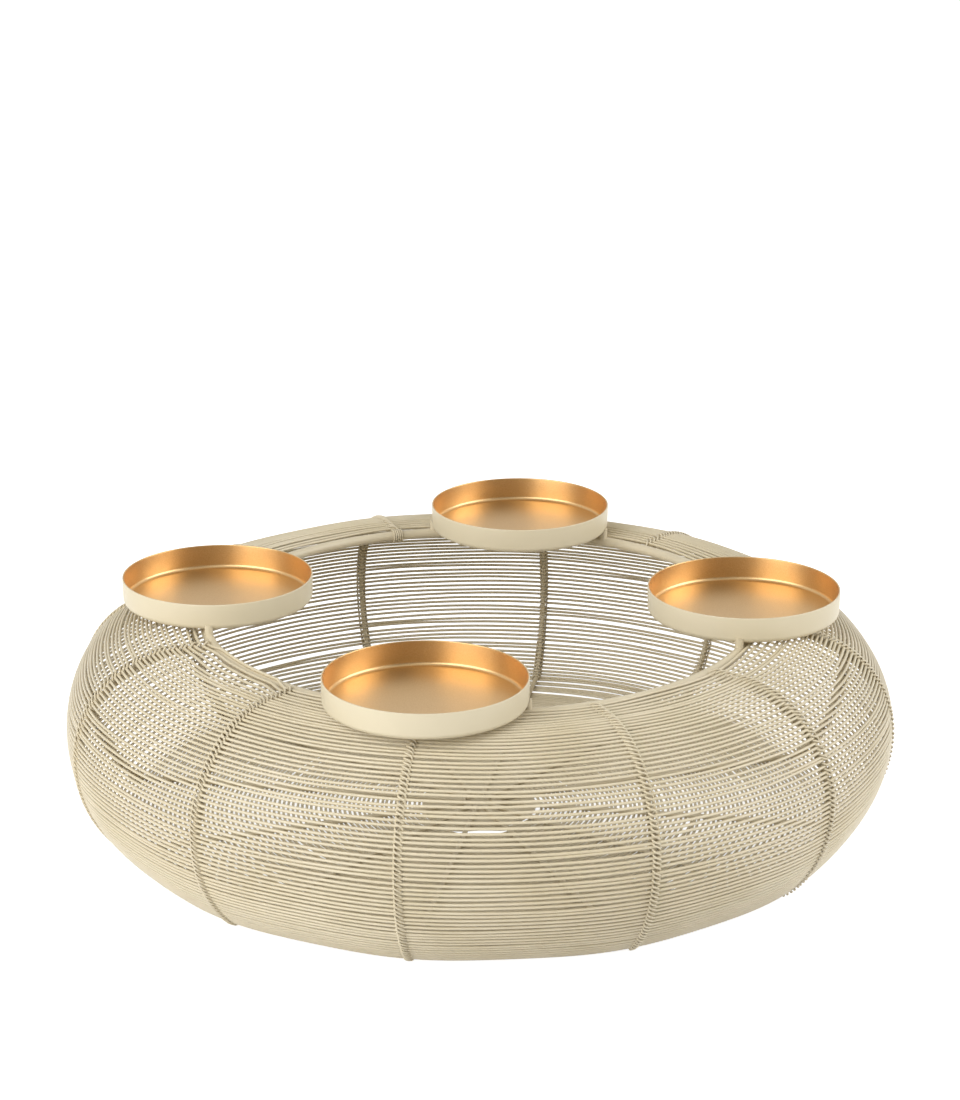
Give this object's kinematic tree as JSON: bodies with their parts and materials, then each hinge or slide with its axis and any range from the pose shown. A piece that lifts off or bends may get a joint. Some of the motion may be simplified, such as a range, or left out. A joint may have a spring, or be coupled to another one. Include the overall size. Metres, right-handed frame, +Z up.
{
  "type": "advent candle holder",
  "caption": "Shallow hollow bowl of wound enamelled wire with a wide round mouth, and flat gold-lined plates for pillar candles standing round the mouth on a ring.",
  "frame": {"origin": "centre of the bowl on the surface that it stands on", "axes": "+Z up; -Y towards the pictured front; +X to the viewer's right"},
  "size_m": [0.4, 0.4, 0.1166],
  "materials": {
    "enamel": "satin",
    "gilt": "satin metallic"
  },
  "bodies": {
    "root": {"crown_winding": "enamel", "shoulder_winding": "enamel", "belly_winding": "enamel", "floor_winding": "enamel", "top_ring": "enamel", "hub_disc": "enamel", "rib_01": "enamel", "rib_02": "enamel", "rib_03": "enamel", "rib_04": "enamel", "rib_05": "enamel", "rib_06": "enamel", "rib_07": "enamel", "rib_08": "enamel", "rib_09": "enamel", "rib_10": "enamel", "rib_11": "enamel", "rib_12": "enamel", "lashing_01": "enamel", "lashing_02": "enamel", "lashing_03": "enamel", "lashing_04": "enamel", "lashing_05": "enamel", "lashing_06": "enamel", "lashing_07": "enamel", "lashing_08": "enamel", "lashing_09": "enamel", "lashing_10": "enamel", "lashing_11": "enamel", "lashing_12": "enamel", "candle_plate_front": "gilt", "candle_plate_right": "gilt", "candle_plate_back": "gilt", "candle_plate_left": "gilt", "plate_posts_front": "enamel", "plate_posts_right": "enamel", "plate_posts_back": "enamel", "plate_posts_left": "enamel"}
  },
  "joints": []
}
